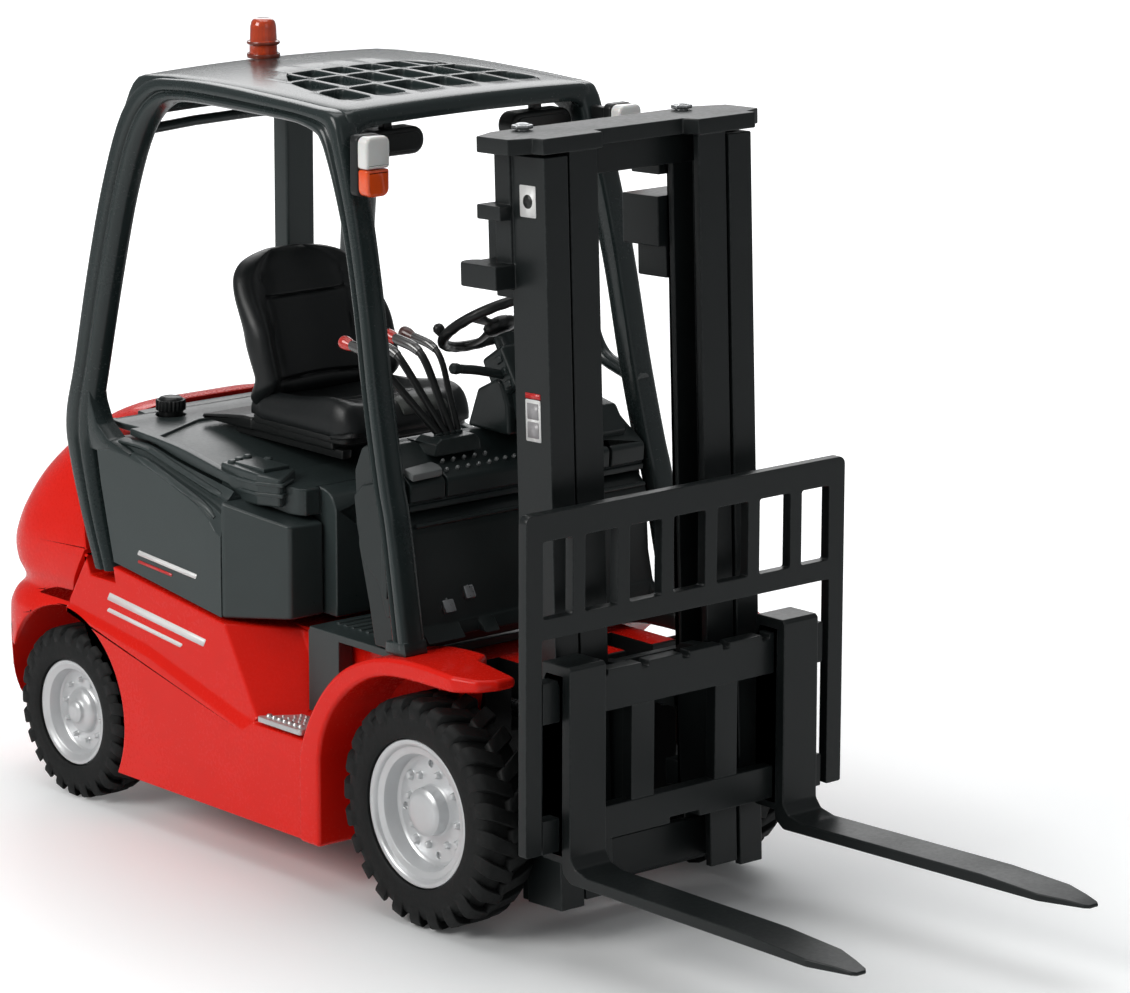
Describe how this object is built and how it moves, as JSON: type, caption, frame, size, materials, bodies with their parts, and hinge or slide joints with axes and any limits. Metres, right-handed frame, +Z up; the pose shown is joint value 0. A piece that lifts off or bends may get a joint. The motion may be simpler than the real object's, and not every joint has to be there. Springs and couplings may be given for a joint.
{
  "type": "toy forklift truck",
  "caption": "Scale-model counterbalance forklift with steered rear wheels, tilting telescopic mast, sliding fork carriage, shifting forks and open cab under a roof guard.",
  "frame": {"origin": "on the ground plane, at the middle of the overall length and width", "axes": "+Z up; -Y forward, the way the forks point; +X the driver's left-hand side"},
  "size_m": [0.047, 0.1482, 0.0943],
  "materials": {
    "red_paint": "gloss",
    "mast_paint": "satin",
    "grey_plastic": "satin",
    "black_plastic": "satin",
    "seat_plastic": "satin",
    "bright_steel": "brushed",
    "step_silver": "satin",
    "rim_silver": "bright",
    "tyre_rubber": "matte",
    "beacon_orange": "translucent gloss",
    "white_lens": "gloss",
    "orange_lens": "gloss"
  },
  "bodies": {
    "chassis": {"red_body": "red_paint", "counterweight": "red_paint", "step_plate_right": "step_silver", "step_plate_left": "step_silver", "base_plate": "mast_paint", "side_cover_right": "grey_plastic", "side_cover_left": "grey_plastic", "hood": "grey_plastic", "fuel_cap": "black_plastic", "air_intake": "grey_plastic", "floor_plate": "grey_plastic", "front_cowl": "grey_plastic", "dash_panel": "grey_plastic", "steering_column": "grey_plastic", "seat_base": "black_plastic", "seat_cushion": "seat_plastic", "seat_backrest": "seat_plastic", "overhead_guard": "grey_plastic", "beacon_lens": "beacon_orange", "lamp_housing_right": "black_plastic", "lamp_housing_left": "black_plastic", "marker_lens_right": "white_lens", "marker_lens_left": "white_lens", "indicator_lens_right": "orange_lens", "indicator_lens_left": "orange_lens", "work_lamp_right": "black_plastic", "work_lamp_left": "black_plastic", "rear_axle_beam": "mast_paint", "mast_pivot_pin": "bright_steel", "tilt_barrel_right": "mast_paint", "tilt_barrel_left": "mast_paint"},
    "front_wheelset": {"front_axle": "bright_steel", "front_rim_right": "rim_silver", "front_rim_left": "rim_silver", "front_tyre_right": "tyre_rubber", "front_tyre_left": "tyre_rubber"},
    "knuckle_right": {"steering_knuckle_right": "bright_steel"},
    "knuckle_left": {"steering_knuckle_left": "bright_steel"},
    "rear_wheel_right": {"rear_rim_right": "rim_silver", "rear_tyre_right": "tyre_rubber"},
    "rear_wheel_left": {"rear_rim_left": "rim_silver", "rear_tyre_left": "tyre_rubber"},
    "steering_link": {"tie_rod": "bright_steel"},
    "handwheel": {"steering_wheel": "black_plastic"},
    "control_lever_1": {"lever_1": "black_plastic"},
    "control_lever_2": {"lever_2": "black_plastic"},
    "control_lever_3": {"lever_3": "black_plastic"},
    "control_lever_4": {"lever_4": "black_plastic"},
    "outer_stage": {"outer_mast": "mast_paint", "lift_barrel_right": "mast_paint", "lift_barrel_left": "mast_paint"},
    "inner_stage": {"inner_mast": "mast_paint", "lift_rod_right": "bright_steel", "lift_rod_left": "bright_steel"},
    "fork_carriage": {"carriage": "mast_paint", "load_backrest": "mast_paint"},
    "right_fork": {"fork_right": "mast_paint"},
    "left_fork": {"fork_left": "mast_paint"},
    "tilt_ram_right": {"tilt_rod_right": "bright_steel"},
    "tilt_ram_left": {"tilt_rod_left": "bright_steel"}
  },
  "joints": [
    {"name": "front_wheels_spin", "type": "hinge", "parent": "chassis", "child": "front_wheelset", "pos_m": [0, -0.0105, 0.0132], "axis": [1, 0, 0], "continuous": true},
    {"name": "steer_right", "type": "hinge", "parent": "chassis", "child": "knuckle_right", "pos_m": [-0.0134, 0.0563, 0.0106], "axis": [0, 0, 1], "range_deg": [-25, 25]},
    {"name": "steer_left", "type": "hinge", "parent": "chassis", "child": "knuckle_left", "pos_m": [0.0134, 0.0563, 0.0106], "axis": [0, 0, 1], "range_deg": [-25, 25]},
    {"name": "rear_wheel_right_spin", "type": "hinge", "parent": "knuckle_right", "child": "rear_wheel_right", "pos_m": [-0.0191, 0.0563, 0.0106], "axis": [1, 0, 0], "continuous": true},
    {"name": "rear_wheel_left_spin", "type": "hinge", "parent": "knuckle_left", "child": "rear_wheel_left", "pos_m": [0.0191, 0.0563, 0.0106], "axis": [1, 0, 0], "continuous": true},
    {"name": "tie_rod_shift", "type": "slide", "parent": "chassis", "child": "steering_link", "axis": [1, 0, 0], "range_m": [-0.0022, 0.0022]},
    {"name": "steering_wheel_turn", "type": "hinge", "parent": "chassis", "child": "handwheel", "pos_m": [0, 0.0021, 0.064], "axis": [0, 0.5446, 0.8387], "continuous": true},
    {"name": "lever_1_tilt", "type": "hinge", "parent": "chassis", "child": "control_lever_1", "pos_m": [-0.0103, 0.0003, 0.0525], "axis": [1, 0, 0], "range_deg": [-8, 8]},
    {"name": "lever_2_tilt", "type": "hinge", "parent": "chassis", "child": "control_lever_2", "pos_m": [-0.00935, 0.0003, 0.0525], "axis": [1, 0, 0], "range_deg": [-8, 8]},
    {"name": "lever_3_tilt", "type": "hinge", "parent": "chassis", "child": "control_lever_3", "pos_m": [-0.0084, 0.0003, 0.0525], "axis": [1, 0, 0], "range_deg": [-8, 8]},
    {"name": "lever_4_tilt", "type": "hinge", "parent": "chassis", "child": "control_lever_4", "pos_m": [-0.00745, 0.0003, 0.0525], "axis": [1, 0, 0], "range_deg": [-8, 8]},
    {"name": "mast_tilt", "type": "hinge", "parent": "chassis", "child": "outer_stage", "pos_m": [0, -0.01795, 0.00929], "axis": [-1, 0, 0], "range_deg": [-4.5, 7.5]},
    {"name": "mast_lift", "type": "slide", "parent": "outer_stage", "child": "inner_stage", "axis": [0, 0.0391, 0.9992], "range_m": [0, 0.045]},
    {"name": "carriage_lift", "type": "slide", "parent": "inner_stage", "child": "fork_carriage", "axis": [0, 0.0391, 0.9992], "range_m": [-0.0045, 0.05]},
    {"name": "fork_right_shift", "type": "slide", "parent": "fork_carriage", "child": "right_fork", "axis": [1, 0, 0], "range_m": [-0.0023, 0.0053]},
    {"name": "fork_left_shift", "type": "slide", "parent": "fork_carriage", "child": "left_fork", "axis": [-1, 0, 0], "range_m": [-0.0023, 0.0053]},
    {"name": "tilt_rod_right_travel", "type": "slide", "parent": "chassis", "child": "tilt_ram_right", "axis": [0, 1, 0], "range_m": [-0.002, 0.002]},
    {"name": "tilt_rod_left_travel", "type": "slide", "parent": "chassis", "child": "tilt_ram_left", "axis": [0, 1, 0], "range_m": [-0.002, 0.002]}
  ],
  "couplings": [
    {"joint": "steer_left", "follows": "steer_right", "ratio": 1},
    {"joint": "tie_rod_shift", "follows": "steer_right", "m_per_rad": 0.0048},
    {"joint": "tilt_rod_right_travel", "follows": "mast_tilt", "m_per_rad": 0.014},
    {"joint": "tilt_rod_left_travel", "follows": "mast_tilt", "m_per_rad": 0.014}
  ]
}
